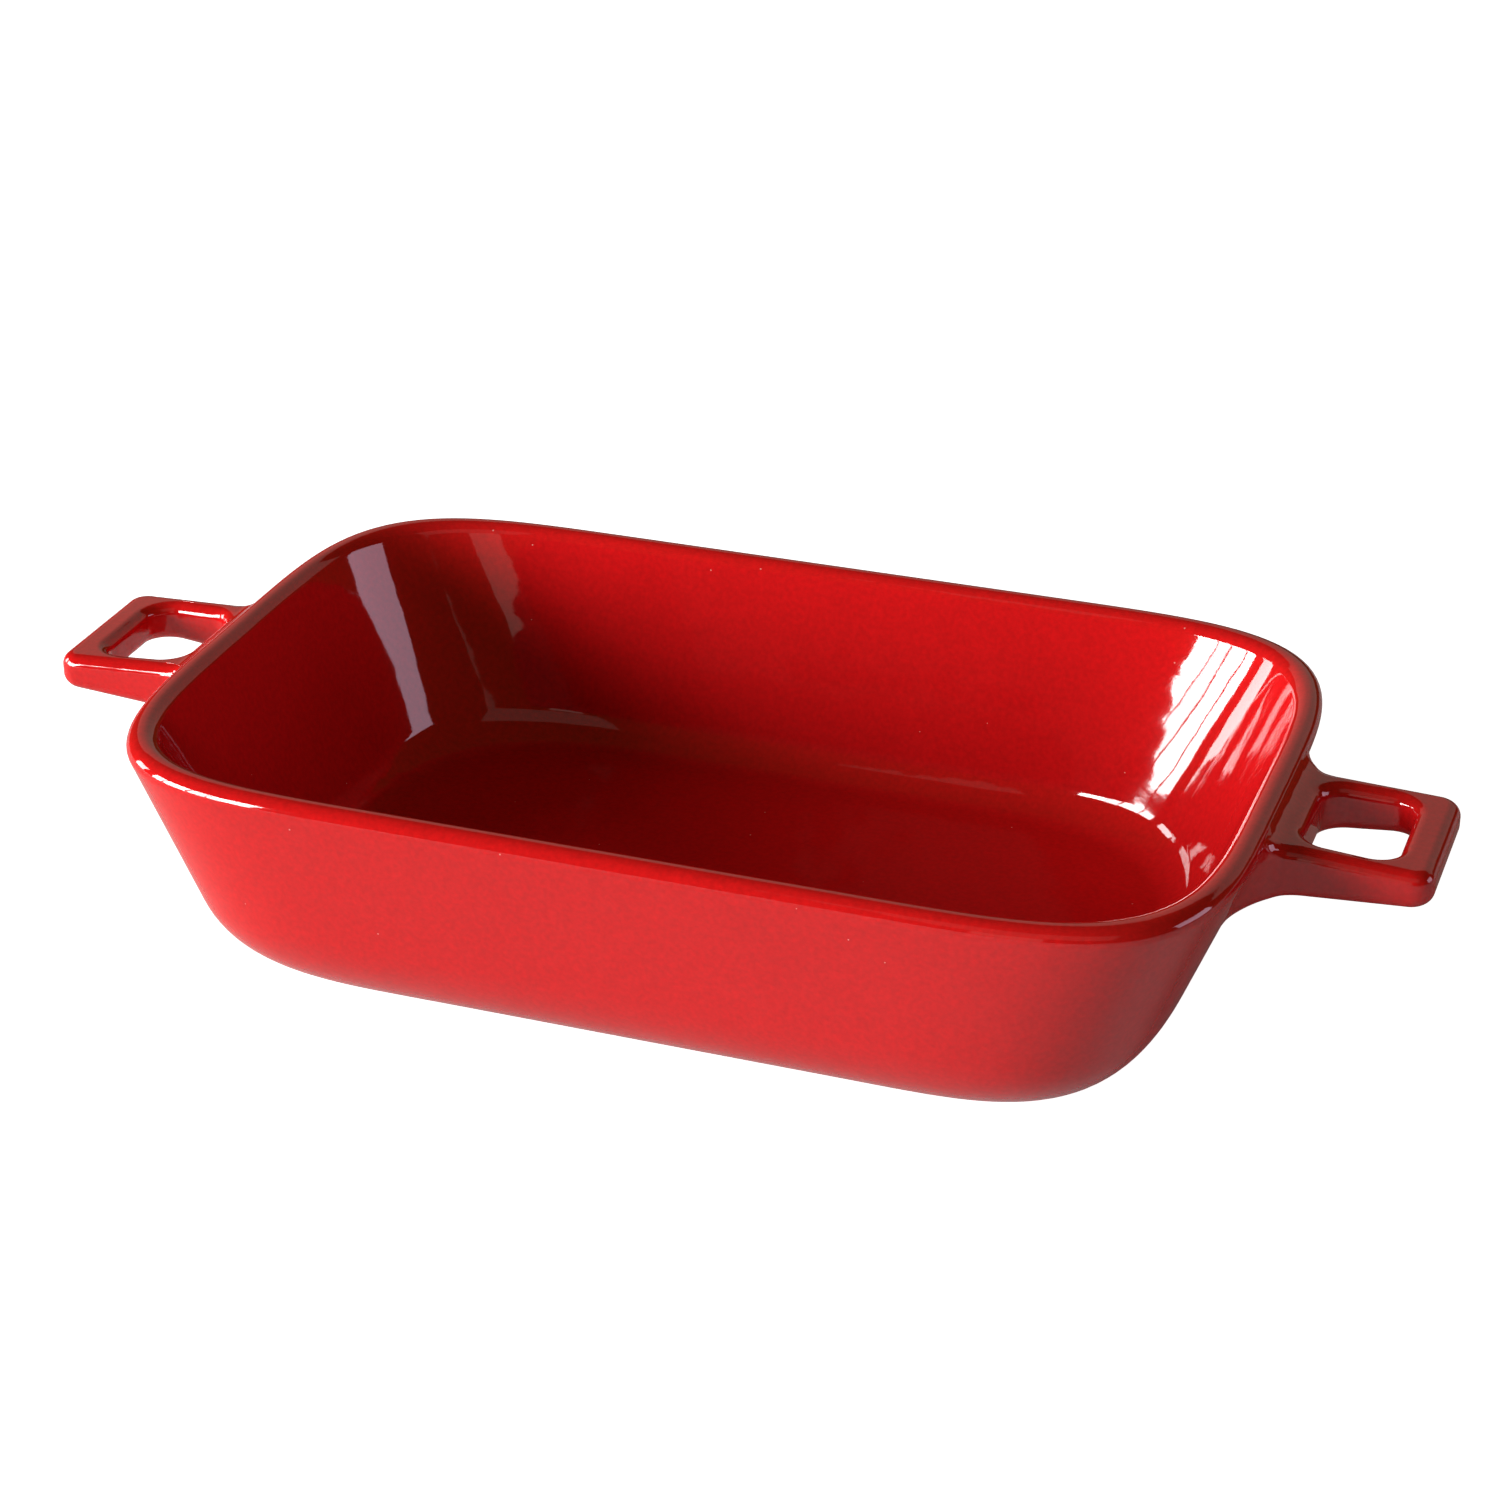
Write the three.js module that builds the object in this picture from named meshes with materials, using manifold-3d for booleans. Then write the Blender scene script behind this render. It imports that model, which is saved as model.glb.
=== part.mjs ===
// A rectangular gratin dish in glazed stoneware, with a loop handle on each end wall.
// Units are millimetres and +Z is up. X runs from handle to handle.
// The origin is on the table, under the centre of the dish.

import * as THREE from "three";
import { mergeVertices } from "three/addons/utils/BufferGeometryUtils.js";
import Module from "manifold-3d";

// Dish body
const RIM_LENGTH = 198; // over the lip, end to end
const RIM_WIDTH = 125.6; // over the lip, side to side
const HEIGHT = 46; // from the table to the top of the lip
const END_LEAN = 21.3; // degrees that the end walls lean out
const SIDE_LEAN = 10.3; // degrees that the long walls lean out
const RIM_CORNER = 60; // how far a corner curve reaches along each side, at the lip
const BASE_CORNER = 50; // the same, where the wall lines meet the table
const CORNER_SQUARENESS = 4.1; // exponent of the corner curves: 2 is a circular arc
const FLOOR_CORNER_SQUARENESS = 2.75; // the same inside at the floor, where the corners are rounder
const WALL = 5; // thickness, square to the wall
const FLOOR = 5.5; // thickness
const LIP_RADIUS = 2; // rounding on both sides of the lip
const LOWER_EDGE_RADIUS = 21; // outside curve from the underside to the walls
const FLOOR_EDGE_RADIUS = 7.5; // inside curve from the floor to the walls

// Foot ring
const FOOT_HEIGHT = 1;
const FOOT_WIDTH = 5; // of the ring's band, where it joins the underside
const FOOT_INSET = 2; // from the edge of the flat underside to the ring
const FOOT_BEVEL = 0.5; // on both bottom edges of the ring

// Handles
const HANDLE_REACH = 27.5; // from the outside of the lip to the tip
const HANDLE_TIP_WIDTH = 31.4;
const HANDLE_ROOT_WIDTH = 30.2; // at the wall, without the blends
const HANDLE_THICKNESS = 6.2; // at the tip
const HANDLE_BELOW_LIP = 4.85; // from the top of the lip down to the top of the tip
const HANDLE_TOP_SLOPE = 2.9; // degrees that the top falls towards the tip
const HANDLE_UNDER_SLOPE = 4.5; // degrees that the underside rises towards the tip
const HANDLE_CORNER_RADIUS = 3.8; // tip corners, seen from above
const HANDLE_EDGE_RADIUS = 2.3; // rounding along the outer edges
const TIP_BAR = 7.3; // from the hole to the tip
const SIDE_BAR = 4.6; // from the hole to each side
const ROOT_BAR = 7.4; // from the wall to the hole
const HOLE_CORNER_RADIUS = 4.5; // seen from above
const HOLE_EDGE_RADIUS = 2.2; // rounding of the hole's upper and lower edges
const SIDE_BLEND = 8; // radius of the blend from each side of a handle into the wall
const UNDER_BLEND = 5.5; // the same, below the handle
const SLIP_JOINT = 0.3; // layer of slip between a handle and the wall

// Smoothness of the curves
const OUTLINE_STEPS = 12; // per corner of the dish
const EDGE_STEPS = 9; // per curve between floor and wall
const LIP_STEPS = 4; // per quarter turn of the lip
const HANDLE_STEPS = 6; // per corner and blend of a handle
const CORNER_LIMIT = 0.98; // largest share of half a side that its corner curve takes

const rad = THREE.MathUtils.degToRad;
const lipRadius = Math.min(LIP_RADIUS, (CORNER_LIMIT * WALL) / 2);
const lipLevel = HEIGHT - lipRadius; // height of the centres of the lip's curves
const floorLevel = FOOT_HEIGHT + FLOOR;

const wasm = await Module();
wasm.setup();

// Points anticlockwise round a rectangle whose corners are quarter superellipses.
// The two corners at the negative V side can have a size of their own.
function roundedRectangle(halfU, halfV, corner, squareness, steps, lowerCorner = corner) {
  const quarter = (size) => {
    const reach = Math.min(size, CORNER_LIMIT * halfU, CORNER_LIMIT * halfV);
    return Array.from({ length: steps + 1 }, (_, i) => {
      const angle = (i / steps) * (Math.PI / 2);
      return new THREE.Vector2(
        halfU - reach + reach * Math.cos(angle) ** (2 / squareness),
        halfV - reach + reach * Math.sin(angle) ** (2 / squareness),
      );
    });
  };
  const turned = (points, signU, signV) => points.map((p) => new THREE.Vector2(signU * p.x, signV * p.y));
  const upper = quarter(corner);
  const lower = quarter(lowerCorner);
  return [
    ...upper,
    ...turned([...upper].reverse(), -1, 1),
    ...turned(lower, -1, -1),
    ...turned([...lower].reverse(), 1, -1),
  ];
}

// Joins rings of equally many points into one closed surface. The ends are capped,
// unless the last ring joins the first.
function loft(rings, joinEnds = false) {
  const count = rings[0].length;
  const points = rings.flat();
  const triangles = [];
  const strips = joinEnds ? rings.length : rings.length - 1;
  for (let i = 0; i < strips; i++) {
    const a = i * count;
    const b = ((i + 1) % rings.length) * count;
    for (let j = 0; j < count; j++) {
      const k = (j + 1) % count;
      triangles.push(a + j, a + k, b + k, a + j, b + k, b + j);
    }
  }
  const cap = (start, facesBack) => {
    const ring = points.slice(start, start + count);
    const centre = points.length;
    points.push(ring.reduce((sum, p) => sum.add(p), new THREE.Vector3()).divideScalar(count));
    for (let j = 0; j < count; j++) {
      const edge = [start + j, start + ((j + 1) % count)];
      triangles.push(centre, ...(facesBack ? edge.reverse() : edge));
    }
  };
  if (!joinEnds) {
    cap(0, true);
    cap((rings.length - 1) * count, false);
  }
  return new THREE.BufferGeometry().setFromPoints(points).setIndex(triangles);
}

function toSolid(geometry) {
  const merged = mergeVertices(geometry);
  return new wasm.Manifold(
    new wasm.Mesh({
      numProp: 3,
      vertProperties: merged.getAttribute("position").array,
      triVerts: new Uint32Array(merged.index.array),
    }),
  );
}

function toGeometry(solid) {
  const { vertProperties, triVerts } = solid.getMesh();
  return new THREE.BufferGeometry()
    .setAttribute("position", new THREE.BufferAttribute(vertProperties, 3))
    .setIndex(new THREE.BufferAttribute(triVerts, 1));
}

// One wall seen in section: half the dish's size at each height, outside and inside.
// Straight leaning faces run tangent into the lip's curves and the floor's curves.
function wallSection(rimSize, leanDegrees) {
  const lean = rad(leanDegrees);
  const lipCentre = rimSize / 2 - lipRadius;
  const outerLine = (z) => lipCentre + lipRadius / Math.cos(lean) + (z - lipLevel) * Math.tan(lean);
  const innerLine = (z) => outerLine(z) - WALL / Math.cos(lean);
  const innerLipCentre = innerLine(lipLevel) + lipRadius / Math.cos(lean);
  const halfChord = (radius, offset) => Math.sqrt(Math.max(0, radius ** 2 - offset ** 2));

  function foldedLine(line, base, radius, z) {
    const centreLevel = base + radius;
    if (z >= centreLevel - radius * Math.sin(lean)) return line(z);
    return line(centreLevel) - radius / Math.cos(lean) + halfChord(radius, centreLevel - z);
  }
  return {
    lean,
    outerLine,
    outer(z) {
      const onLip = z > lipLevel - lipRadius * Math.sin(lean);
      if (onLip) return lipCentre + halfChord(lipRadius, z - lipLevel);
      return foldedLine(outerLine, FOOT_HEIGHT, LOWER_EDGE_RADIUS, z);
    },
    inner(z) {
      const onLip = z > lipLevel + lipRadius * Math.sin(lean);
      if (onLip) return innerLipCentre - halfChord(lipRadius, z - lipLevel);
      return foldedLine(innerLine, floorLevel, FLOOR_EDGE_RADIUS, z);
    },
  };
}

const endWall = wallSection(RIM_LENGTH, END_LEAN);
const sideWall = wallSection(RIM_WIDTH, SIDE_LEAN);

// The dish's outline with the given half sizes at one height. The corner curve shrinks
// by as much as the outline lies inside the walls' outer lines.
function dishRing(halfLength, halfWidth, z, squareness = CORNER_SQUARENESS) {
  const cornerLine = THREE.MathUtils.lerp(BASE_CORNER, RIM_CORNER, z / HEIGHT);
  const inset = (endWall.outerLine(z) - halfLength + sideWall.outerLine(z) - halfWidth) / 2;
  return roundedRectangle(halfLength, halfWidth, cornerLine - inset, squareness, OUTLINE_STEPS).map(
    (p) => new THREE.Vector3(p.x, p.y, z),
  );
}
const outerRing = (z, grow = 0) => dishRing(endWall.outer(z) + grow, sideWall.outer(z) + grow, z);

// Inside, the corners change evenly from the lip's curve to the floor's rounder one.
function innerRing(z) {
  const rise = (z - floorLevel) / (HEIGHT - floorLevel);
  const squareness = THREE.MathUtils.lerp(FLOOR_CORNER_SQUARENESS, CORNER_SQUARENESS, rise);
  return dishRing(endWall.inner(z), sideWall.inner(z), z, squareness);
}

// Heights of the rings, from the underside up to the lip, and from the lip down to the floor.
const edgeAngles = Array.from({ length: EDGE_STEPS }, (_, i) => (i / EDGE_STEPS) * (Math.PI / 2));
const lipAngles = Array.from({ length: LIP_STEPS + 1 }, (_, i) => (i / LIP_STEPS) * (Math.PI / 2));
const edgeLevels = (base, radius) => edgeAngles.map((angle) => base + radius * (1 - Math.cos(angle)));
const lipLevels = lipAngles.map((angle) => lipLevel + lipRadius * Math.sin(angle));
const outerLevels = [
  ...edgeLevels(FOOT_HEIGHT, LOWER_EDGE_RADIUS),
  lipLevel - lipRadius * Math.sin(endWall.lean),
  ...lipLevels,
];
const innerLevels = [...edgeLevels(floorLevel, FLOOR_EDGE_RADIUS), ...lipLevels.slice(1)].reverse();

const bodyGeometry = loft([
  ...outerLevels.map((z) => outerRing(z)),
  ...innerLevels.map((z) => innerRing(z)),
]);

// Foot ring: a flat band under the body, bevelled where it meets the table.
function footRing(inset, z) {
  const halfLength = endWall.outer(FOOT_HEIGHT) - inset;
  const halfWidth = sideWall.outer(FOOT_HEIGHT) - inset;
  return dishRing(halfLength, halfWidth, FOOT_HEIGHT).map((p) => p.setZ(z));
}
const footBevel = Math.min(FOOT_BEVEL, CORNER_LIMIT * FOOT_HEIGHT, (CORNER_LIMIT * FOOT_WIDTH) / 2);
const footGeometry = loft(
  [
    footRing(FOOT_INSET + footBevel, 0),
    footRing(FOOT_INSET, footBevel),
    footRing(FOOT_INSET, FOOT_HEIGHT),
    footRing(FOOT_INSET + FOOT_WIDTH, FOOT_HEIGHT),
    footRing(FOOT_INSET + FOOT_WIDTH, footBevel),
    footRing(FOOT_INSET + FOOT_WIDTH - footBevel, 0),
  ],
  true,
);

// Handle at the +X end. Its sections follow one another from inside the wall to the tip.
const tipX = RIM_LENGTH / 2 + HANDLE_REACH;
const tipTop = HEIGHT - HANDLE_BELOW_LIP;
const rootLevel = tipTop - HANDLE_THICKNESS / 2;
const wallX = endWall.outerLine(rootLevel);

const topAt = (x) => tipTop + (tipX - x) * Math.tan(rad(HANDLE_TOP_SLOPE));
const underAt = (x) => tipTop - HANDLE_THICKNESS - (tipX - x) * Math.tan(rad(HANDLE_UNDER_SLOPE));
const halfWidthAt = (x) =>
  THREE.MathUtils.mapLinear(x, wallX, tipX, HANDLE_ROOT_WIDTH / 2, HANDLE_TIP_WIDTH / 2);

// How far a quarter-round curve stands off its straight line, at a distance from its end.
function curveOffset(distance, radius) {
  const within = THREE.MathUtils.clamp(radius - distance, 0, radius);
  return radius - Math.sqrt(radius ** 2 - within ** 2);
}

function handleSection(x) {
  const fromWall = x - wallX;
  const edge = curveOffset(tipX - x, HANDLE_EDGE_RADIUS);
  const top = topAt(x) - edge;
  const under = underAt(x) + edge - curveOffset(fromWall, UNDER_BLEND);
  const tipCorner = curveOffset(tipX - x, HANDLE_CORNER_RADIUS);
  const halfWidth = halfWidthAt(x) - tipCorner + curveOffset(fromWall, SIDE_BLEND);
  const lean = Math.tan(endWall.lean) * THREE.MathUtils.clamp(1 - fromWall / ROOT_BAR, 0, 1);
  const middle = (top + under) / 2;
  const lowerEdge = HANDLE_EDGE_RADIUS + curveOffset(fromWall, UNDER_BLEND);
  const halfHeight = (top - under) / 2;
  const outline = roundedRectangle(halfWidth, halfHeight, HANDLE_EDGE_RADIUS, 2, HANDLE_STEPS, lowerEdge);
  return outline.map((p) => {
    const z = middle + p.y;
    return new THREE.Vector3(x + lean * (z - rootLevel), p.x, z);
  });
}

// The loop's hole, widening towards the top and the underside by its rounded edges.
function holeRing(spread, level) {
  const from = wallX + ROOT_BAR - spread;
  const to = tipX - TIP_BAR + spread;
  const middle = (from + to) / 2;
  const halfWidth = halfWidthAt(middle) - SIDE_BAR + spread;
  const corner = HOLE_CORNER_RADIUS + spread;
  return roundedRectangle((to - from) / 2, halfWidth, corner, 2, HANDLE_STEPS).map((p) => {
    const x = middle + p.x;
    const y = (p.y * (halfWidthAt(x) - SIDE_BAR + spread)) / halfWidth;
    return new THREE.Vector3(x, y, level(x));
  });
}

function handleGeometry() {
  const quarter = Array.from({ length: HANDLE_STEPS + 1 }, (_, i) => (i / HANDLE_STEPS) * (Math.PI / 2));
  const stations = [
    wallX - WALL,
    ...quarter.map((angle) => wallX + UNDER_BLEND * (1 - Math.cos(angle))),
    ...quarter.map((angle) => tipX - HANDLE_CORNER_RADIUS * (1 - Math.sin(angle))),
  ];
  const edgeSpreads = quarter.map((angle) => ({
    depth: HOLE_EDGE_RADIUS * (1 - Math.cos(angle)),
    spread: HOLE_EDGE_RADIUS * (1 - Math.sin(angle)),
  }));
  const hole = [
    holeRing(HOLE_EDGE_RADIUS, (x) => underAt(x) - UNDER_BLEND),
    ...edgeSpreads.map(({ depth, spread }) => holeRing(spread, (x) => underAt(x) + depth)),
    ...[...edgeSpreads].reverse().map(({ depth, spread }) => holeRing(spread, (x) => topAt(x) - depth)),
    holeRing(HOLE_EDGE_RADIUS, (x) => topAt(x) + HANDLE_BELOW_LIP),
  ];
  const bodyWithSlip = outerLevels.map((z) => outerRing(z, SLIP_JOINT));
  const loop = toSolid(loft(stations.map(handleSection)));
  return toGeometry(loop.subtract(toSolid(loft(hole))).subtract(toSolid(loft(bodyWithSlip))));
}

const finish = (name, color, roughness) => new THREE.MeshStandardMaterial({ name, color, roughness });
const redGlaze = finish("red_glaze", 0xc4201f, 0.12);
const bareStoneware = finish("bare_stoneware", 0xe4dac8, 0.85);

function piece(name, geometry, material) {
  const mesh = new THREE.Mesh(geometry, material);
  mesh.name = name;
  return mesh;
}

const loopGeometry = handleGeometry();
const rightHandle = piece("right_handle", loopGeometry, redGlaze);
const leftHandle = piece("left_handle", loopGeometry, redGlaze);
leftHandle.rotation.z = Math.PI;

const dish = new THREE.Group();
dish.name = "gratin_dish";
dish.add(
  piece("dish_body", bodyGeometry, redGlaze),
  piece("foot_ring", footGeometry, bareStoneware),
  leftHandle,
  rightHandle,
);

export default dish;
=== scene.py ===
# A rectangular gratin dish in red glazed stoneware, dressed for a studio picture.
# Sizes are in millimetres here and become metres in the meshes. X runs from handle to handle, +Z is up.

import math

import bmesh
import bpy
from mathutils import Matrix, Vector


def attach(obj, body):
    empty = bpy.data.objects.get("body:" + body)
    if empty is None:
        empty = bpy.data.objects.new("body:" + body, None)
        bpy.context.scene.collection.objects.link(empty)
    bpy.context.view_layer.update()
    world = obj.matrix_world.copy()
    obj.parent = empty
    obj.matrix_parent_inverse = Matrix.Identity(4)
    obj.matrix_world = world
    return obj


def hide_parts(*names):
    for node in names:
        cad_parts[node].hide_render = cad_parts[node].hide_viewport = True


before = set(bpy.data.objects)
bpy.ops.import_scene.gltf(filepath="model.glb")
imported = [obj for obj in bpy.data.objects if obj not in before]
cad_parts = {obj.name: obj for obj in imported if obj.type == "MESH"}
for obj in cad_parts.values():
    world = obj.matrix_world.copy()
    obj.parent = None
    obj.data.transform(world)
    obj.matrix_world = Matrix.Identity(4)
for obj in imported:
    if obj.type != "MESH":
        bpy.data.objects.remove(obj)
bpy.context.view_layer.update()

MM = 0.001

# Dish body
RIM_LENGTH = 198.0  # over the lip, end to end
RIM_WIDTH = 125.6  # over the lip, side to side
HEIGHT = 46.0
END_LEAN = math.radians(21.3)  # how far the end walls lean out
SIDE_LEAN = math.radians(10.3)  # how far the long walls lean out
RIM_CORNER = 60.0  # how far a corner curve reaches along each side, at the lip
BASE_CORNER = 50.0  # the same, where the wall lines meet the table
WIDEST_CORNER = 0.98  # largest share of the smaller half size that a corner may take
CORNER_SQUARENESS = 4.1  # exponent of the corner curve: 2 is a circular arc
FLOOR_CORNER_SQUARENESS = 2.6  # the same inside at the floor, where the corners are rounder
WALL = 5.0
FLOOR = 5.5
LIP_RADIUS = 2.4
LOWER_EDGE_RADIUS = 21.0  # outside curve from the underside to the walls
FLOOR_EDGE_RADIUS = 7.5  # inside curve from the floor to the walls

# Foot ring
FOOT_HEIGHT = 1.0
FOOT_WIDTH = 5.0
FOOT_INSET = 2.0  # from the edge of the flat underside
FOOT_BEVEL = 0.5
FOOT_LET_IN = 0.2  # how far the ring's top is let into the underside

# Handles
HANDLE_REACH = 27.5  # from the outside of the lip to the tip
HANDLE_TIP_WIDTH = 31.4
HANDLE_ROOT_WIDTH = 30.2
HANDLE_THICKNESS = 6.2  # at the tip
HANDLE_BELOW_LIP = 4.85
HANDLE_TOP_SLOPE = math.radians(2.9)
HANDLE_UNDER_SLOPE = math.radians(4.5)
HANDLE_CORNER_RADIUS = 3.8
HANDLE_EDGE_RADIUS = 2.3
ROOT_EDGE_RADIUS = 7.8  # the same edges where they meet the wall
TOP_NARROWING = 0.3  # how fast the flat of the top narrows away from the wall
TIP_BAR = 6.9  # between the hole and the tip
SIDE_BAR = 4.6  # between the hole and each side
ROOT_BAR = 6.6  # between the hole and the wall
HOLE_CORNER_RADIUS = 4.5
HOLE_EDGE_RADIUS = 2.2
SIDE_BLEND = 8.0  # radius of the blend from each side into the wall
UNDER_BLEND = 5.5  # the same, below the handle
LIP_BLEND = 5.0  # the same, from the top of the handle up to the lip
ROOT_LET_IN = 2.0  # how far the handle's root is let into the wall
BLEND_LET_IN = 0.6  # how far the ends of the side blends dip into the wall
BLEND_FADE = 4  # exponent of that dip, which fades along the blend

# Glaze and bare clay
CLOUD_SIZE = 28.0  # of the slow changes of the red
GRAIN_SIZE = 0.9  # the real grain is about 0.4 mm, too fine to show, so it is drawn coarser
PINHOLE_GLINT_SPACING = 6.0
PINHOLE_GLINT_RADIUS = 0.15
WAVE_SIZE = 10.0  # of the waves that make reflections ragged
WAVE_HEIGHT = 0.14
PEEL_SIZE = 1.6  # of the orange peel
PEEL_HEIGHT = 0.006
GRIT_SIZE = 0.8  # of the bare clay
GRIT_HEIGHT = 0.1

# Smoothness of the meshes
CORNER_POINTS = 48  # per corner of the dish
CURVE_POINTS = 20  # per rounded edge of the dish
BEVEL_POINTS = 6  # per rounded edge of the foot ring
STRAIGHT_CUTS = 16  # on each long straight of the dish's section
LONG_STRAIGHT = 4.0  # a straight longer than this is cut
ROOT_STATIONS = 10  # sections of half a handle, along its root
CURVE_STATIONS = 36  # the same, round each of its two curves
SIDE_STATIONS = 10  # the same, along its side
TIP_STATIONS = 10  # the same, along its tip
EDGE_POINTS = 10  # per rounded edge of a handle's section
FACE_POINTS = 24  # between two rounded edges, closer together near the wall
SETTLING_STEPS = 8  # rounds in which a point on the leaning wall finds its level
MERGE_DISTANCE = 0.002  # points closer than this become one

# Camera, where the photograph was taken from: angles in degrees, distances in millimetres
VIEW_AZIMUTH = 19.61
VIEW_ELEVATION = 26.88
VIEW_DISTANCE = 642.5
VIEW_RIGHT = 3.19  # how far the aim lies to the right of the dish's centre
VIEW_UP = 31.27  # how far it lies above
VIEW_LIFT = 0.9  # how far the camera is raised as well
LENS = 84.92  # focal length for a sensor this wide
SENSOR = 36.0
NEAREST = 10.0  # what the camera draws begins here
FARTHEST = 50000.0  # and ends here


def connect(tree, value, socket):
    """Links a node or one of its outputs to a socket, or sets the socket to a plain value."""
    if isinstance(value, bpy.types.Node):
        value = next(s for s in value.outputs if s.enabled)
    if isinstance(value, bpy.types.NodeSocket):
        tree.links.new(value, socket)
    else:
        socket.default_value = value


def add_node(tree, kind, inputs=(), **settings):
    """Adds one node. Settings are its properties; inputs fill its open sockets, by order or by name."""
    made = tree.nodes.new(kind)
    for name, value in settings.items():
        setattr(made, name, value)
    sockets = [s for s in made.inputs if s.enabled]
    given = inputs.items() if isinstance(inputs, dict) else enumerate(inputs)
    for key, value in given:
        socket = sockets[key] if isinstance(key, int) else next(s for s in sockets if s.name == key)
        connect(tree, value, socket)
    return made


def linear(hex_colour):
    """An sRGB hex colour as linear RGBA."""
    channels = [int(hex_colour[i : i + 2], 16) / 255 for i in (1, 3, 5)]
    return [c / 12.92 if c <= 0.04045 else ((c + 0.055) / 1.055) ** 2.4 for c in channels] + [1.0]


# Finishes

def new_material(name):
    """An empty material and its node tree."""
    material = bpy.data.materials.new(name)
    material.use_nodes = True
    material.node_tree.nodes.clear()
    return material, material.node_tree


def per_metre(size):
    """Texture scale whose features are about this many millimetres large."""
    return 1 / (size * MM)


def red_stoneware_glaze():
    """Glossy red glaze: mirror-like, with fine grain, a few pinholes with their glints painted in as
    pale specks, orange peel and waves.
    """
    material, tree = new_material("red_stoneware_glaze")
    place = add_node(tree, "ShaderNodeTexCoord").outputs["Object"]
    patterns = {}
    for name, size, detail in (
        ("clouds", CLOUD_SIZE, 3.0),
        ("grain", GRAIN_SIZE, 2.0),
        ("waves", WAVE_SIZE, 1.0),
        ("peel", PEEL_SIZE, 2.0),
    ):
        inputs = {"Vector": place, "Scale": per_metre(size), "Detail": detail}
        patterns[name] = add_node(tree, "ShaderNodeTexNoise", inputs)
    mottled = add_node(
        tree,
        "ShaderNodeMix",
        {"Factor": 0.8, "A": patterns["clouds"], "B": patterns["grain"]},
        data_type="FLOAT",
    )
    red = add_node(
        tree,
        "ShaderNodeMix",
        {"Factor": mottled, "A": linear("#a01113"), "B": linear("#d71518")},
        data_type="RGBA",
    )
    # a pinhole shows where the surface passes close to the point inside a cell; its glint is painted in
    # as a pale speck
    cells = add_node(
        tree,
        "ShaderNodeTexVoronoi",
        {"Vector": place, "Scale": per_metre(PINHOLE_GLINT_SPACING)},
    )
    pinhole_glint = add_node(
        tree,
        "ShaderNodeMath",
        [cells, PINHOLE_GLINT_RADIUS / PINHOLE_GLINT_SPACING],
        operation="LESS_THAN",
    )
    # the pale colour of the pinholes is a painted highlight, standing in for their glints
    body = add_node(
        tree,
        "ShaderNodeMix",
        {"Factor": pinhole_glint, "A": red, "B": linear("#d2857c")},
        data_type="RGBA",
    )
    wavy = add_node(
        tree,
        "ShaderNodeBump",
        {"Strength": 1.0, "Distance": WAVE_HEIGHT * MM, "Height": patterns["waves"]},
    )
    peeled = add_node(
        tree,
        "ShaderNodeBump",
        {"Strength": 1.0, "Distance": PEEL_HEIGHT * MM, "Height": patterns["peel"], "Normal": wavy},
    )
    shader = add_node(
        tree,
        "ShaderNodeBsdfPrincipled",
        {"Base Color": body, "Roughness": 0.05, "IOR": 1.6, "Normal": peeled},
    )
    add_node(tree, "ShaderNodeOutputMaterial", {"Surface": shader})
    return material


def bare_stoneware():
    """Fired clay wiped clean of glaze: matt and pale, with fine grit."""
    material, tree = new_material("bare_stoneware")
    place = add_node(tree, "ShaderNodeTexCoord").outputs["Object"]
    grit = add_node(
        tree,
        "ShaderNodeTexNoise",
        {"Vector": place, "Scale": per_metre(GRIT_SIZE), "Detail": 4.0},
    )
    body = add_node(
        tree,
        "ShaderNodeMix",
        {"Factor": grit, "A": linear("#d8ccb6"), "B": linear("#eee6d8")},
        data_type="RGBA",
    )
    rough = add_node(
        tree,
        "ShaderNodeBump",
        {"Strength": 0.6, "Distance": GRIT_HEIGHT * MM, "Height": grit},
    )
    shader = add_node(
        tree,
        "ShaderNodeBsdfPrincipled",
        {"Base Color": body, "Roughness": 0.85, "IOR": 1.5, "Normal": rough},
    )
    add_node(tree, "ShaderNodeOutputMaterial", {"Surface": shader})
    return material


# Dish body and foot ring, made by Geometry Nodes

def new_tree(name, sizes):
    """A Geometry Nodes tree with an input for each named size and one for the finish."""
    tree = bpy.data.node_groups.new(name, "GeometryNodeTree")
    for label, size in sizes.items():
        socket = tree.interface.new_socket(label, in_out="INPUT", socket_type="NodeSocketFloat")
        socket.default_value = size
    tree.interface.new_socket("Finish", in_out="INPUT", socket_type="NodeSocketMaterial")
    tree.interface.new_socket("Piece", in_out="OUTPUT", socket_type="NodeSocketGeometry")
    given = tree.nodes.new("NodeGroupInput").outputs
    return tree, {socket.name: socket for socket in given if socket.name}


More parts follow.
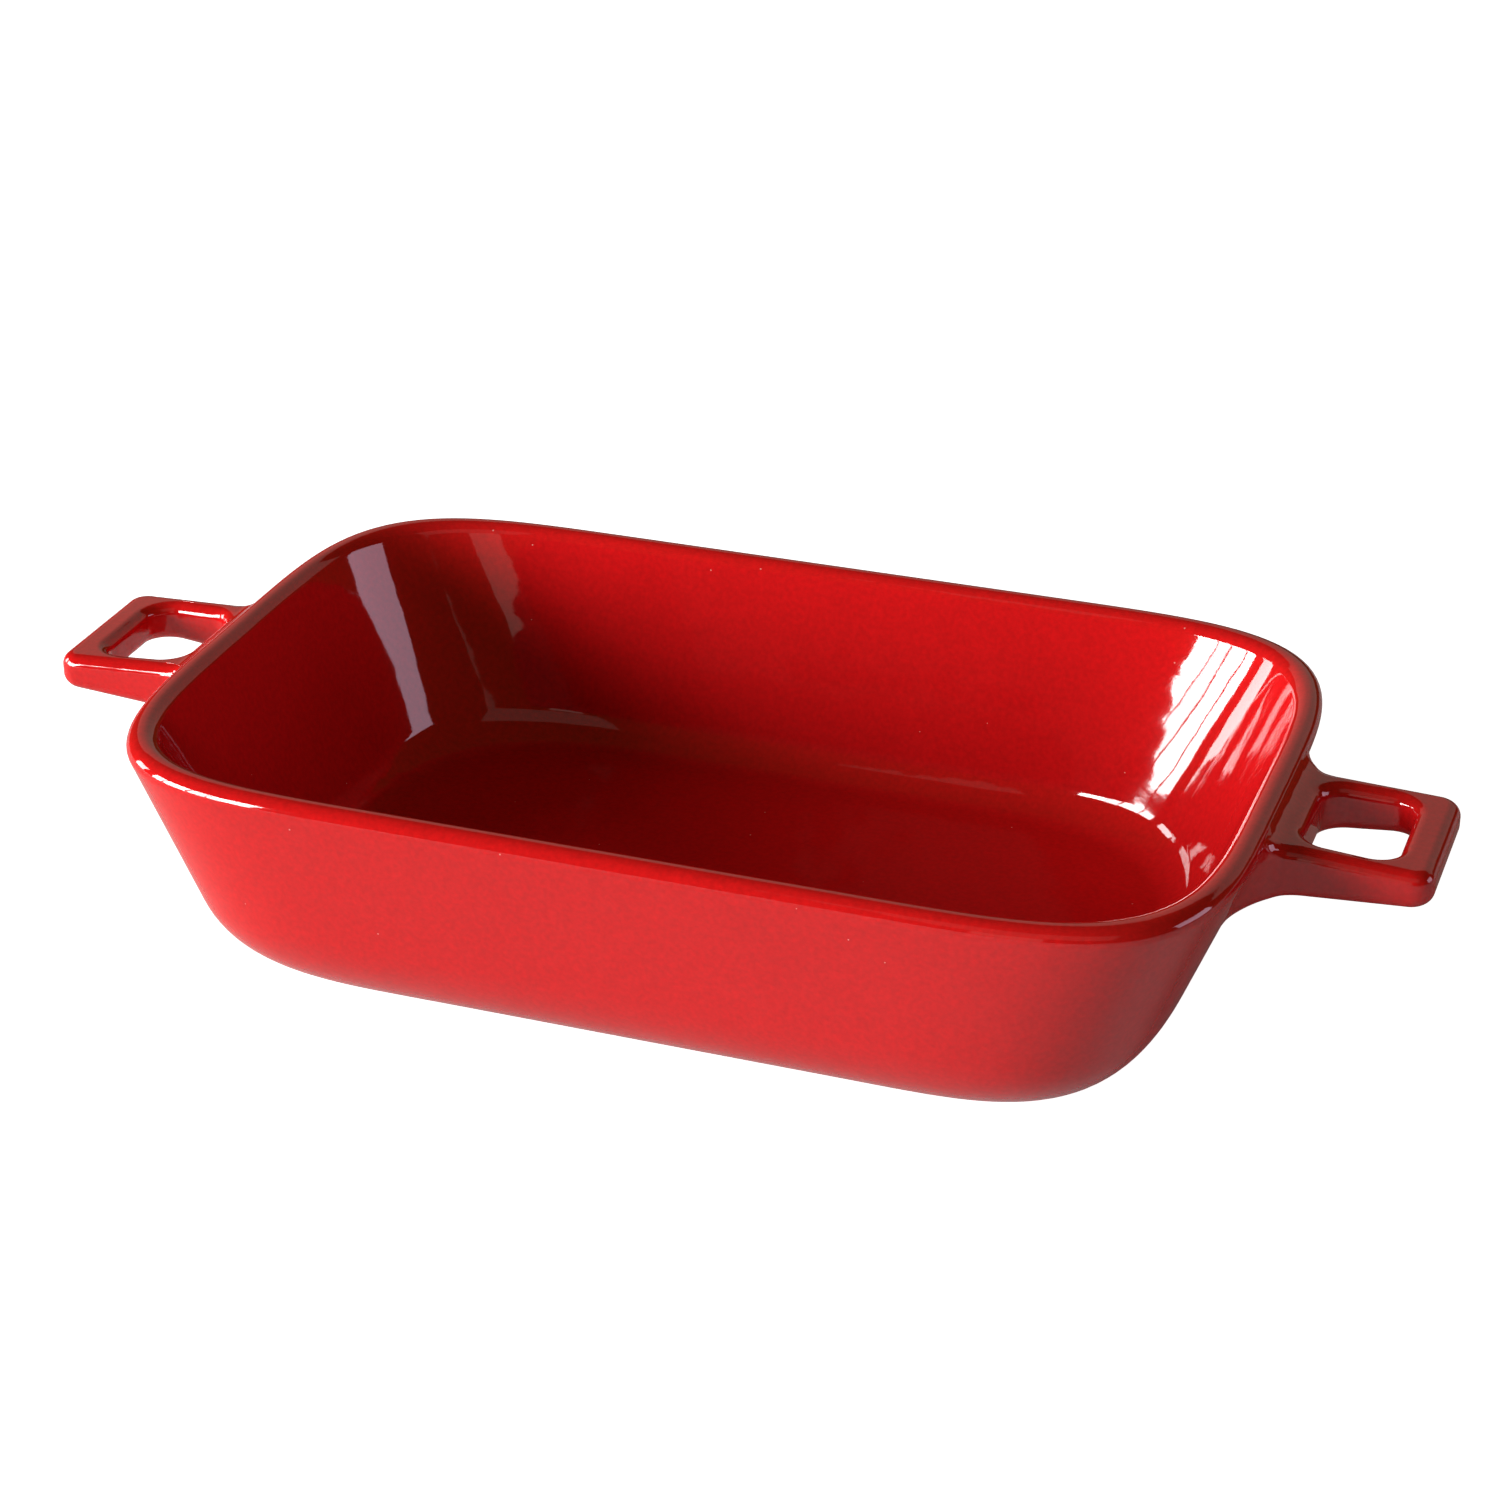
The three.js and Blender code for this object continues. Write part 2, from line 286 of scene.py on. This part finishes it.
def add_section(tree, corners, radii, curve_points, closed):
    """A line through corner points, each rounded by its radius. Long straights get more points."""
    index = add_node(tree, "GeometryNodeInputIndex")
    chosen = []
    for kind, values in (("VECTOR", corners), ("FLOAT", radii)):
        switch = add_node(tree, "GeometryNodeIndexSwitch", data_type=kind)
        while len(switch.index_switch_items) < len(values):
            switch.index_switch_items.new()
        connect(tree, index, switch.inputs["Index"])
        for socket, value in zip(switch.inputs[1:], values):
            connect(tree, value, socket)
        chosen.append(switch)
    line = add_node(tree, "GeometryNodeMeshLine", {"Count": len(corners)})
    path = add_node(tree, "GeometryNodeMeshToCurve", [line])
    looped = add_node(tree, "GeometryNodeSetSplineCyclic", {"Geometry": path, "Cyclic": closed})
    placed = add_node(tree, "GeometryNodeSetPosition", {"Geometry": looped, "Position": chosen[0]})
    rounded = add_node(
        tree,
        "GeometryNodeFilletCurve",
        {"Curve": placed, "Count": curve_points, "Radius": chosen[1]},
        mode="POLY",
    )
    here = add_node(tree, "GeometryNodeInputPosition")
    after = add_node(tree, "ShaderNodeMath", [index, 1.0], operation="ADD")
    there = add_node(
        tree,
        "GeometryNodeFieldAtIndex",
        {"Value": here, "Index": after},
        data_type="FLOAT_VECTOR",
        domain="POINT",
    )
    run = add_node(tree, "ShaderNodeVectorMath", [here, there], operation="DISTANCE")
    is_long = add_node(tree, "ShaderNodeMath", [run, LONG_STRAIGHT * MM], operation="GREATER_THAN")
    cuts = add_node(tree, "ShaderNodeMath", [is_long, STRAIGHT_CUTS], operation="MULTIPLY")
    return add_node(tree, "GeometryNodeSubdivideCurve", {"Curve": rounded, "Cuts": cuts})


def add_loft(tree, value, sections, closing_rows):
    """Carries the end's and the side's section round the dish, with superellipse corners between.

    A step is the name of a value, a calculation and what goes into it. A closed section has one closing
    row, which repeats its first point, and an open one has none.
    """
    ring = add_node(tree, "GeometryNodeAttributeDomainSize", [sections["end"]], component="CURVE")
    value["section points"] = ring.outputs["Point Count"]
    value["index"] = add_node(tree, "GeometryNodeInputIndex")
    # a half is added before each division, so that rounding can't lose a whole column or quarter
    steps = [
        ("rows", "ADD", "section points", closing_rows),
        ("past index", "ADD", "index", 0.5),
        ("columns passed", "DIVIDE", "past index", "rows"),
        ("column", "FLOOR", "columns passed"),
        ("row", "MODULO", "index", "rows"),
        ("point", "MODULO", "row", "section points"),
        ("past column", "ADD", "column", 0.5),
        ("quarters passed", "DIVIDE", "past column", CORNER_POINTS + 1.0),
        ("quarter", "FLOOR", "quarters passed"),
        ("quarter start", "MULTIPLY", "quarter", CORNER_POINTS + 1.0),
        ("step", "SUBTRACT", "column", "quarter start"),
        ("turns", "MULTIPLY_ADD", "step", 1.0 / CORNER_POINTS, "quarter"),
        ("angle", "MULTIPLY", "turns", math.pi / 2),
        ("middle turns", "ADD", "quarter", 0.5),
        ("middle angle", "MULTIPLY", "middle turns", math.pi / 2),
    ]
    for name, operation, *inputs in steps:
        given = [value.get(i, i) for i in inputs]
        value[name] = add_node(tree, "ShaderNodeMath", given, operation=operation)
    for wall, section in sections.items():
        place = add_node(tree, "GeometryNodeInputPosition")
        sampled = add_node(
            tree,
            "GeometryNodeSampleIndex",
            {"Geometry": section, "Value": place, "Index": value["point"]},
            data_type="FLOAT_VECTOR",
            domain="POINT",
        )
        parts = add_node(tree, "ShaderNodeSeparateXYZ", [sampled]).outputs
        value[wall + " half"] = parts["X"]
        value[wall + " level"] = parts["Z"]
    # the second half of a section's points lies inside the dish, where the corners get rounder
    steps = [
        ("both halves", "ADD", "end half", "side half"),
        ("mean half", "MULTIPLY", "both halves", 0.5),
        ("both levels", "ADD", "end level", "side level"),
        ("mean level", "MULTIPLY", "both levels", 0.5),
        ("straight", "MULTIPLY_ADD", "mean level", "Straight run growth", "Straight run"),
        ("free reach", "SUBTRACT", "mean half", "straight"),
        ("smaller half", "MINIMUM", "end half", "side half"),
        ("widest reach", "MULTIPLY", "smaller half", WIDEST_CORNER),
        ("held reach", "MINIMUM", "free reach", "widest reach"),
        ("reach", "MAXIMUM", "held reach", 0.0),
        ("twice point", "MULTIPLY", "point", 2.0),
        ("inside", "GREATER_THAN", "twice point", "section points"),
        ("below lip", "SUBTRACT", "Height", "mean level"),
        ("softer", "MULTIPLY", "below lip", "Inside corner softening"),
        ("softer inside", "MULTIPLY", "softer", "inside"),
        ("squareness", "SUBTRACT", "Squareness", "softer inside"),
        ("signed cosine", "COSINE", "angle"),
        ("signed sine", "SINE", "angle"),
        ("cosine", "ABSOLUTE", "signed cosine"),
        ("sine", "ABSOLUTE", "signed sine"),
        ("cosine power", "POWER", "cosine", "squareness"),
        ("sine power", "POWER", "sine", "squareness"),
        ("power sum", "ADD", "cosine power", "sine power"),
        ("root", "DIVIDE", -1.0, "squareness"),
        ("stretch", "POWER", "power sum", "root"),
        ("side share", "MULTIPLY", "sine", "sine"),
        ("rise", "SUBTRACT", "side level", "end level"),
        ("level", "MULTIPLY_ADD", "rise", "side share", "end level"),
    ]
    for wall, part, turn in (("end", "cosine", "COSINE"), ("side", "sine", "SINE")):
        steps += [
            (wall + " start", "SUBTRACT", wall + " half", "reach"),
            (wall + " curve", "MULTIPLY", part, "stretch"),
            (wall + " size", "MULTIPLY_ADD", wall + " curve", "reach", wall + " start"),
            (wall + " heading", turn, "middle angle"),
            (wall + " sign", "SIGN", wall + " heading"),
            (wall + " place", "MULTIPLY", wall + " size", wall + " sign"),
        ]
    for name, operation, *inputs in steps:
        given = [value.get(i, i) for i in inputs]
        value[name] = add_node(tree, "ShaderNodeMath", given, operation=operation)
    columns = 4 * (CORNER_POINTS + 1) + 1  # the last one lies on the first
    grid = add_node(tree, "GeometryNodeMeshGrid", {"Vertices X": columns, "Vertices Y": value["rows"]})
    places = [value["end place"], value["side place"], value["level"]]
    place = add_node(tree, "ShaderNodeCombineXYZ", places)
    shaped = add_node(tree, "GeometryNodeSetPosition", {"Geometry": grid, "Position": place})
    joined = add_node(
        tree,
        "GeometryNodeMergeByDistance",
        {"Geometry": shaped, "Distance": MERGE_DISTANCE * MM},
    )
    smooth = add_node(tree, "GeometryNodeSetShadeSmooth", {"Geometry": joined, "Shade Smooth": True})
    real = add_node(tree, "GeometryNodeRealizeInstances", [smooth])
    finished = add_node(tree, "GeometryNodeSetMaterial", {"Geometry": real, "Material": value["Finish"]})
    add_node(tree, "NodeGroupOutput", [finished])


def outer_line(rim_size, lean, level):
    """Half the dish's size at a height, along the straight line of a wall's outside."""
    at_lip = rim_size / 2 - LIP_RADIUS + LIP_RADIUS / math.cos(lean)
    return at_lip + (level - HEIGHT + LIP_RADIUS) * math.tan(lean)


def straight_run(level):
    """Mean half length of the straight part of the dish's sides, at a height on the outer lines."""
    mean_half = (outer_line(RIM_LENGTH, END_LEAN, level) + outer_line(RIM_WIDTH, SIDE_LEAN, level)) / 2
    corner = BASE_CORNER + (RIM_CORNER - BASE_CORNER) * level / HEIGHT
    return mean_half - corner


OUTLINE_SIZES = {
    "Height": HEIGHT * MM,
    "Squareness": CORNER_SQUARENESS,
    "Straight run": straight_run(0) * MM,
    "Straight run growth": (straight_run(HEIGHT) - straight_run(0)) / HEIGHT,
}


def dish_body_tree():
    """One shell: underside, outside, lip, inside and floor, from two wall sections."""
    softening = CORNER_SQUARENESS - FLOOR_CORNER_SQUARENESS
    sizes = {
        "Rim length": RIM_LENGTH * MM,
        "Rim width": RIM_WIDTH * MM,
        "End lean": END_LEAN,
        "Side lean": SIDE_LEAN,
        "Underside level": FOOT_HEIGHT * MM,
        "Floor level": (FOOT_HEIGHT + FLOOR) * MM,
        "Wall": WALL * MM,
        "Lip radius": LIP_RADIUS * MM,
        "Lower edge radius": LOWER_EDGE_RADIUS * MM,
        "Floor edge radius": FLOOR_EDGE_RADIUS * MM,
        "Inside corner softening": softening / ((HEIGHT - FOOT_HEIGHT - FLOOR) * MM),
        **OUTLINE_SIZES,
    }
    tree, value = new_tree("dish_body", sizes)
    sections = {}
    for wall, rim, lean in (("end", "Rim length", "End lean"), ("side", "Rim width", "Side lean")):
        steps = [
            ("cosine", "COSINE", lean),
            ("tangent", "TANGENT", lean),
            ("lip across", "DIVIDE", "Lip radius", "cosine"),
            ("wall across", "DIVIDE", "Wall", "cosine"),
            ("lip level", "SUBTRACT", "Height", "Lip radius"),
            ("past lip", "SUBTRACT", "lip across", "Lip radius"),
            ("at lip", "MULTIPLY_ADD", rim, 0.5, "past lip"),
            ("to top", "SUBTRACT", "Height", "lip level"),
            ("to floor", "SUBTRACT", "Floor level", "lip level"),
            ("to underside", "SUBTRACT", "Underside level", "lip level"),
            ("outer top", "MULTIPLY_ADD", "to top", "tangent", "at lip"),
            ("outer floor", "MULTIPLY_ADD", "to floor", "tangent", "at lip"),
            ("outer underside", "MULTIPLY_ADD", "to underside", "tangent", "at lip"),
            ("inner top", "SUBTRACT", "outer top", "wall across"),
            ("inner floor", "SUBTRACT", "outer floor", "wall across"),
        ]
        for name, operation, *inputs in steps:
            given = [value.get(i, i) for i in inputs]
            value[name] = add_node(tree, "ShaderNodeMath", given, operation=operation)
        corners = [
            (0.0, "Underside level", 0.0),
            ("outer underside", "Underside level", "Lower edge radius"),
            ("outer top", "Height", "Lip radius"),
            ("inner top", "Height", "Lip radius"),
            ("inner floor", "Floor level", "Floor edge radius"),
            (0.0, "Floor level", 0.0),
        ]
        points = [
            add_node(tree, "ShaderNodeCombineXYZ", {"X": value.get(half, half), "Z": value[level]})
            for half, level, _ in corners
        ]
        radii = [value.get(radius, radius) for _, _, radius in corners]
        sections[wall] = add_section(tree, points, radii, CURVE_POINTS, False)
    add_loft(tree, value, sections, 0)
    return tree


def foot_ring_tree():
    """A flat band under the dish, its two bottom edges rounded."""
    half_sizes = {}
    for wall, rim, lean in (("end", RIM_LENGTH, END_LEAN), ("side", RIM_WIDTH, SIDE_LEAN)):
        curve_top = outer_line(rim, lean, FOOT_HEIGHT + LOWER_EDGE_RADIUS)
        half_sizes[wall] = curve_top - LOWER_EDGE_RADIUS / math.cos(lean) - FOOT_INSET
    sizes = {
        "Half length": half_sizes["end"] * MM,
        "Half width": half_sizes["side"] * MM,
        "Ring height": (FOOT_HEIGHT + FOOT_LET_IN) * MM,
        "Band width": FOOT_WIDTH * MM,
        "Bevel": FOOT_BEVEL * MM,
        "Inside corner softening": 0.0,
        **OUTLINE_SIZES,
    }
    tree, value = new_tree("foot_ring", sizes)
    sections = {}
    for wall, half in (("end", "Half length"), ("side", "Half width")):
        widths = [value[half], value["Band width"]]
        inner = add_node(tree, "ShaderNodeMath", widths, operation="SUBTRACT")
        corners = [
            (inner, 0.0, value["Bevel"]),
            (value[half], 0.0, value["Bevel"]),
            (value[half], value["Ring height"], 0.0),
            (inner, value["Ring height"], 0.0),
        ]
        points = [
            add_node(tree, "ShaderNodeCombineXYZ", {"X": edge, "Z": level}) for edge, level, _ in corners
        ]
        radii = [radius for _, _, radius in corners]
        sections[wall] = add_section(tree, points, radii, BEVEL_POINTS, True)
    add_loft(tree, value, sections, 1)
    return tree


def new_piece(name, mesh):
    """An object at the origin that shows a mesh."""
    piece = bpy.data.objects.new(name, mesh)
    bpy.context.scene.collection.objects.link(piece)
    return piece


def grow_piece(name, tree, finish):
    """Runs a tree on an empty mesh and keeps the result as a plain mesh."""
    piece = new_piece(name, bpy.data.meshes.new(name))
    modifier = piece.modifiers.new(name, "NODES")
    modifier.node_group = tree
    for item in tree.interface.items_tree:
        if item.in_out == "INPUT":
            modifier[item.identifier] = finish if item.name == "Finish" else item.default_value
    evaluated = piece.evaluated_get(bpy.context.evaluated_depsgraph_get())
    mesh = bpy.data.meshes.new_from_object(evaluated)
    piece.modifiers.remove(modifier)
    piece.data = mesh
    mesh.name = name
    return piece


# Handles

TIP_X = RIM_LENGTH / 2 + HANDLE_REACH
TIP_TOP = HEIGHT - HANDLE_BELOW_LIP
ROOT_LEVEL = TIP_TOP - HANDLE_THICKNESS / 2
WALL_X = outer_line(RIM_LENGTH, END_LEAN, ROOT_LEVEL)


def half_width(x):
    """Half the handle's width in plan, without its corners and blends."""
    share = (x - WALL_X) / (TIP_X - WALL_X)
    return (HANDLE_ROOT_WIDTH + (HANDLE_TIP_WIDTH - HANDLE_ROOT_WIDTH) * share) / 2


def curve_offset(distance, radius):
    """How far a quarter-round curve stands off its straight line, at a distance from its end."""
    within = min(max(radius - distance, 0.0), radius)
    return radius - math.sqrt(radius**2 - within**2)


def wall_drop(y):
    """How far the end wall has curved away towards the dish's corner, at a distance from the middle."""
    share = min(max((abs(y) - RIM_WIDTH / 2 + RIM_CORNER) / RIM_CORNER, 0.0), 1.0)
    return RIM_CORNER * (1 - (1 - share**CORNER_SQUARENESS) ** (1 / CORNER_SQUARENESS))


def top_level(x, y):
    """Top of the handle, which curves up to the lip."""
    lip_x = RIM_LENGTH / 2 - LIP_RADIUS - wall_drop(y)
    lip_level = HEIGHT - LIP_RADIUS
    slope_level = TIP_TOP + (TIP_X - lip_x - LIP_BLEND) * math.tan(HANDLE_TOP_SLOPE)
    rise = slope_level + LIP_BLEND - lip_level
    reach = math.sqrt((LIP_RADIUS + LIP_BLEND) ** 2 - rise**2)
    curve_end = LIP_RADIUS / (LIP_RADIUS + LIP_BLEND) * reach
    into_curve = min(max(lip_x + reach - x, 0.0), reach - curve_end)
    blend = LIP_BLEND - math.sqrt(LIP_BLEND**2 - into_curve**2)
    return TIP_TOP + (TIP_X - x) * math.tan(HANDLE_TOP_SLOPE) + blend


def under_level(x):
    """Underside of the handle, which curves down to the wall."""
    slope_level = TIP_TOP - HANDLE_THICKNESS - (TIP_X - x) * math.tan(HANDLE_UNDER_SLOPE)
    return slope_level - curve_offset(x - WALL_X, UNDER_BLEND)


def wall_shift(x, y, z):
    """How far the leaning, curving wall moves a point of the handle's root."""
    near_wall = min(max(1 - (x - WALL_X) / ROOT_BAR, 0.0), 1.0)
    return near_wall**2 * ((z - ROOT_LEVEL) * math.tan(END_LEAN) - wall_drop(y))


def handle_stations():
    """Points and outward directions in plan, round the hole and round the outside, for half a handle.

    Each station also has the radius of the outer edge, which widens where the side sweeps into the wall,
    and how far that edge is let into the wall.
    """
    hole_from = WALL_X + ROOT_BAR
    hole_to = TIP_X - TIP_BAR
    root_side = half_width(hole_from) - SIDE_BAR
    tip_side = half_width(hole_to) - SIDE_BAR
    blend_side = half_width(WALL_X + SIDE_BLEND)
    corner_side = half_width(TIP_X - HANDLE_CORNER_RADIUS)
    root_end = blend_side + SIDE_BLEND - ROOT_EDGE_RADIUS
    stations = []

    def heading(angle):
        return Vector((math.cos(angle), math.sin(angle)))

    for i in range(ROOT_STATIONS):
        share = i / ROOT_STATIONS
        hole = Vector((hole_from, share * (root_side - HOLE_CORNER_RADIUS)))
        outside = Vector((WALL_X - ROOT_LET_IN, share * root_end))
        stations.append((hole, Vector((-1, 0)), outside, Vector((-1, 0)), 0.0, ROOT_LET_IN))
    for i in range(CURVE_STATIONS):
        share = i / CURVE_STATIONS
        turn = heading(math.pi * (1 - share / 2))
        hole = Vector((hole_from, root_side)) + HOLE_CORNER_RADIUS * (Vector((1, -1)) + turn)
        inward = heading(math.pi * (1 + share / 2))
        outside = Vector((WALL_X, blend_side)) + SIDE_BLEND * (Vector((1, 1)) + inward)
        edge = max(outside.y - root_end + TOP_NARROWING * (outside.x - WALL_X), HANDLE_EDGE_RADIUS)
        let_in = BLEND_LET_IN * (1 - share) ** BLEND_FADE
        outside.x -= let_in
        stations.append((hole, turn, outside, Vector((0, 1)), edge, let_in))
    for i in range(SIDE_STATIONS):
        share = i / SIDE_STATIONS
        hole = Vector((hole_from + HOLE_CORNER_RADIUS, root_side)).lerp(
            Vector((hole_to - HOLE_CORNER_RADIUS, tip_side)), share
        )
        outside = Vector((WALL_X + SIDE_BLEND, blend_side)).lerp(
            Vector((TIP_X - HANDLE_CORNER_RADIUS, corner_side)), share
        )
        stations.append((hole, Vector((0, 1)), outside, Vector((0, 1)), HANDLE_EDGE_RADIUS, 0.0))
    for i in range(CURVE_STATIONS):
        turn = heading(math.pi / 2 * (1 - i / CURVE_STATIONS))
        hole = Vector((hole_to, tip_side)) + HOLE_CORNER_RADIUS * (turn - Vector((1, 1)))
        outside = Vector((TIP_X, corner_side)) + HANDLE_CORNER_RADIUS * (turn - Vector((1, 1)))
        stations.append((hole, turn, outside, turn, HANDLE_EDGE_RADIUS, 0.0))
    for i in range(TIP_STATIONS + 1):
        share = 1 - i / TIP_STATIONS
        hole = Vector((hole_to, share * (tip_side - HOLE_CORNER_RADIUS)))
        outside = Vector((TIP_X, share * (corner_side - HANDLE_CORNER_RADIUS)))
        stations.append((hole, Vector((1, 0)), outside, Vector((1, 0)), HANDLE_EDGE_RADIUS, 0.0))
    return stations


def handle_section(hole, hole_way, outside, outside_way, edge, let_in):
    """Points of one section: up the hole's side, out over the top, down the outside, back underneath."""
    quarter = [math.pi / 2 * i / EDGE_POINTS for i in range(EDGE_POINTS + 1)]
    between = [math.sin(math.pi / 2 * i / FACE_POINTS) for i in range(1, FACE_POINTS)]

    def top_point(plan, drop):
        x = plan.x
        for _ in range(SETTLING_STEPS):  # the level and the wall's shift at that level settle together
            z = top_level(x, plan.y) - drop
            x = plan.x + wall_shift(plan.x, plan.y, z)
        return Vector((x, plan.y, z))

    def under_point(plan, lift):
        z = under_level(plan.x) + lift
        return Vector((plan.x + wall_shift(plan.x, plan.y, z), plan.y, z))

    points = []
    for angle in quarter:
        plan = hole + hole_way * HOLE_EDGE_RADIUS * (1 - math.cos(angle))
        points.append(top_point(plan, HOLE_EDGE_RADIUS * (1 - math.sin(angle))))
    start = hole + hole_way * HOLE_EDGE_RADIUS
    end = outside - outside_way * edge
    on_wall = Vector((let_in, 0))  # the underside meets the wall without being let in
    for share in between:
        points.append(top_point(start.lerp(end, share), 0.0))
    for angle in quarter:
        plan = outside - outside_way * edge * (1 - math.sin(angle))
        points.append(top_point(plan, edge * (1 - math.cos(angle))))
    for angle in quarter:
        plan = outside + (on_wall - outside_way * edge) * (1 - math.cos(angle))
        points.append(under_point(plan, edge * (1 - math.sin(angle))))
    for share in reversed(between):
        points.append(under_point(start.lerp(end + on_wall, share), 0.0))
    for angle in quarter:
        plan = hole + hole_way * HOLE_EDGE_RADIUS * (1 - math.sin(angle))
        points.append(under_point(plan, HOLE_EDGE_RADIUS * (1 - math.cos(angle))))
    return points


def make_handle(name, turn, finish):
    """One loop handle. The left one is the right one turned half round."""
    half = [handle_section(*station) for station in handle_stations()]
    mirrored = [[Vector((p.x, -p.y, p.z)) for p in section] for section in half[1:-1]]
    sections = half + mirrored[::-1]
    count = len(sections[0])
    shape = bmesh.new()
    rows = [[shape.verts.new(p * MM) for p in section] for section in sections]
    for row, after in zip(rows, rows[1:] + rows[:1]):
        for j in range(count):
            k = (j + 1) % count
            shape.faces.new((row[j], after[j], after[k], row[k]))
    bmesh.ops.remove_doubles(shape, verts=shape.verts, dist=MERGE_DISTANCE * MM)
    bmesh.ops.recalc_face_normals(shape, faces=shape.faces)
    for face in shape.faces:
        face.smooth = True
    bmesh.ops.rotate(shape, verts=shape.verts, cent=(0, 0, 0), matrix=Matrix.Rotation(turn, 3, "Z"))
    mesh = bpy.data.meshes.new(name)
    shape.to_mesh(mesh)
    shape.free()
    mesh.materials.append(finish)
    return new_piece(name, mesh)


# Pieces

glaze = red_stoneware_glaze()
clay = bare_stoneware()
pieces = {
    "dish_body": (grow_piece("glazed_dish_body", dish_body_tree(), glaze), "red_glaze"),
    "foot_ring": (grow_piece("bare_foot_ring", foot_ring_tree(), clay), "bare_stoneware"),
    "right_handle": (make_handle("glazed_right_handle", 0.0, glaze), "red_glaze"),
    "left_handle": (make_handle("glazed_left_handle", math.pi, glaze), "red_glaze"),
}
for node, (piece, slot) in pieces.items():
    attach(piece, "root")
    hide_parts(node)


# Studio

PAPER_GLOW = 1.0  # added to the paper's own light, for the camera alone
PAPER_HALF_SIZE = 4.0  # metres
PAPER_SQUARES = 8  # along each side
ROOM_GLOW = 0.4
PANEL_DISTANCE = 3.0  # metres from the dish
PANELS = (
    # name, azimuth, elevation, width and height in degrees, watts, colour
    ("window_pane_1", -92.0, 12, 13, 20, 24.0, "#ffffff"),
    ("window_pane_2", -70.5, 12, 9, 21, 34.0, "#ffffff"),
    ("window_pane_3", -58.5, 12, 12, 21, 52.0, "#ffffff"),
    ("window_pane_4", -47.0, 12.5, 8, 22, 30.0, "#ffffff"),
    ("window_pane_5", -37.0, 12.5, 10, 21, 52.0, "#ffffff"),
    ("pale_door_in_front", 1, 13, 14, 20, 1.2, "#fff0e4"),
    ("pale_ceiling_in_front", 16, 42, 52, 32, 3.2, "#fff0e4"),
    ("lilac_curtain_on_the_right", 106, 15, 29, 21, 14.5, "#ffe2fd"),
    ("brown_wall_behind", 180, 26, 78, 28, 8.0, "#fff0e4"),
)


def white_floor():
    """Seamless white paper. It glows evenly white to the camera, but not in the glaze's reflections."""
    material, tree = new_material("white_studio_paper")
    path = add_node(tree, "ShaderNodeLightPath").outputs
    paper = add_node(tree, "ShaderNodeBsdfDiffuse", {"Color": linear("#e7e7e7")})
    glow = add_node(tree, "ShaderNodeEmission", {"Color": linear("#ffffff"), "Strength": PAPER_GLOW})
    both = add_node(tree, "ShaderNodeAddShader", [paper, glow])
    surface = add_node(tree, "ShaderNodeMixShader", [path["Is Camera Ray"], paper, both])
    add_node(tree, "ShaderNodeOutputMaterial", {"Surface": surface})
    return material


def make_floor():
    """The paper that the dish stands on."""
    shape = bmesh.new()
    squares = {"x_segments": PAPER_SQUARES, "y_segments": PAPER_SQUARES}
    bmesh.ops.create_grid(shape, size=PAPER_HALF_SIZE, **squares)
    mesh = bpy.data.meshes.new("studio_floor")
    shape.to_mesh(mesh)
    shape.free()
    mesh.materials.append(white_floor())
    floor = new_piece("studio_floor", mesh)


def direction(azimuth, elevation):
    """Unit vector from the dish: azimuth 0 is towards the front, 90 towards the right, in degrees."""
    a, e = math.radians(azimuth), math.radians(elevation)
    return Vector((math.sin(a) * math.cos(e), -math.cos(a) * math.cos(e), math.sin(e)))


def add_panel(name, azimuth, elevation, width, height, power, colour):
    """A soft light panel that faces the dish."""
    lamp = bpy.data.lights.new(name, "AREA")
    lamp.shape = "RECTANGLE"
    lamp.size = 2 * PANEL_DISTANCE * math.tan(math.radians(width / 2))
    lamp.size_y = 2 * PANEL_DISTANCE * math.tan(math.radians(height / 2))
    lamp.energy = power
    lamp.color = linear(colour)[:3]
    panel = bpy.data.objects.new(name, lamp)
    bpy.context.scene.collection.objects.link(panel)
    back = direction(azimuth, elevation)
    panel.location = back * PANEL_DISTANCE
    panel.rotation_euler = back.to_track_quat("Z", "Y").to_euler()


def make_world():
    """A dim brown room, with a white backdrop for the camera alone."""
    world = bpy.data.worlds.new("studio_room")
    bpy.context.scene.world = world
    world.use_nodes = True
    tree = world.node_tree
    tree.nodes.clear()
    room = add_node(tree, "ShaderNodeBackground", {"Color": linear("#6f5326"), "Strength": ROOM_GLOW})
    backdrop = add_node(tree, "ShaderNodeBackground", {"Color": linear("#ffffff"), "Strength": 1.0})
    path = add_node(tree, "ShaderNodeLightPath").outputs
    seen = add_node(tree, "ShaderNodeMixShader", [path["Is Camera Ray"], room, backdrop])
    add_node(tree, "ShaderNodeOutputWorld", {"Surface": seen})


def make_camera():
    """The camera that took the photograph."""
    lens = bpy.data.cameras.new("photo_camera")
    lens.sensor_width = SENSOR
    lens.lens = LENS
    lens.clip_start = NEAREST * MM
    lens.clip_end = FARTHEST * MM
    camera = bpy.data.objects.new("photo_camera", lens)
    bpy.context.scene.collection.objects.link(camera)
    back = direction(VIEW_AZIMUTH, VIEW_ELEVATION)
    right = Vector((0, 0, 1)).cross(back).normalized()
    up = back.cross(right)
    place = right * VIEW_RIGHT + up * VIEW_UP + back * VIEW_DISTANCE + Vector((0, 0, VIEW_LIFT))
    turn = Matrix((right, up, back)).transposed().to_4x4()
    camera.matrix_world = Matrix.Translation(place * MM) @ turn
    bpy.context.scene.camera = camera


make_floor()
make_world()
make_camera()
for panel in PANELS:
    add_panel(*panel)

bpy.context.scene.view_settings.view_transform = "Standard"
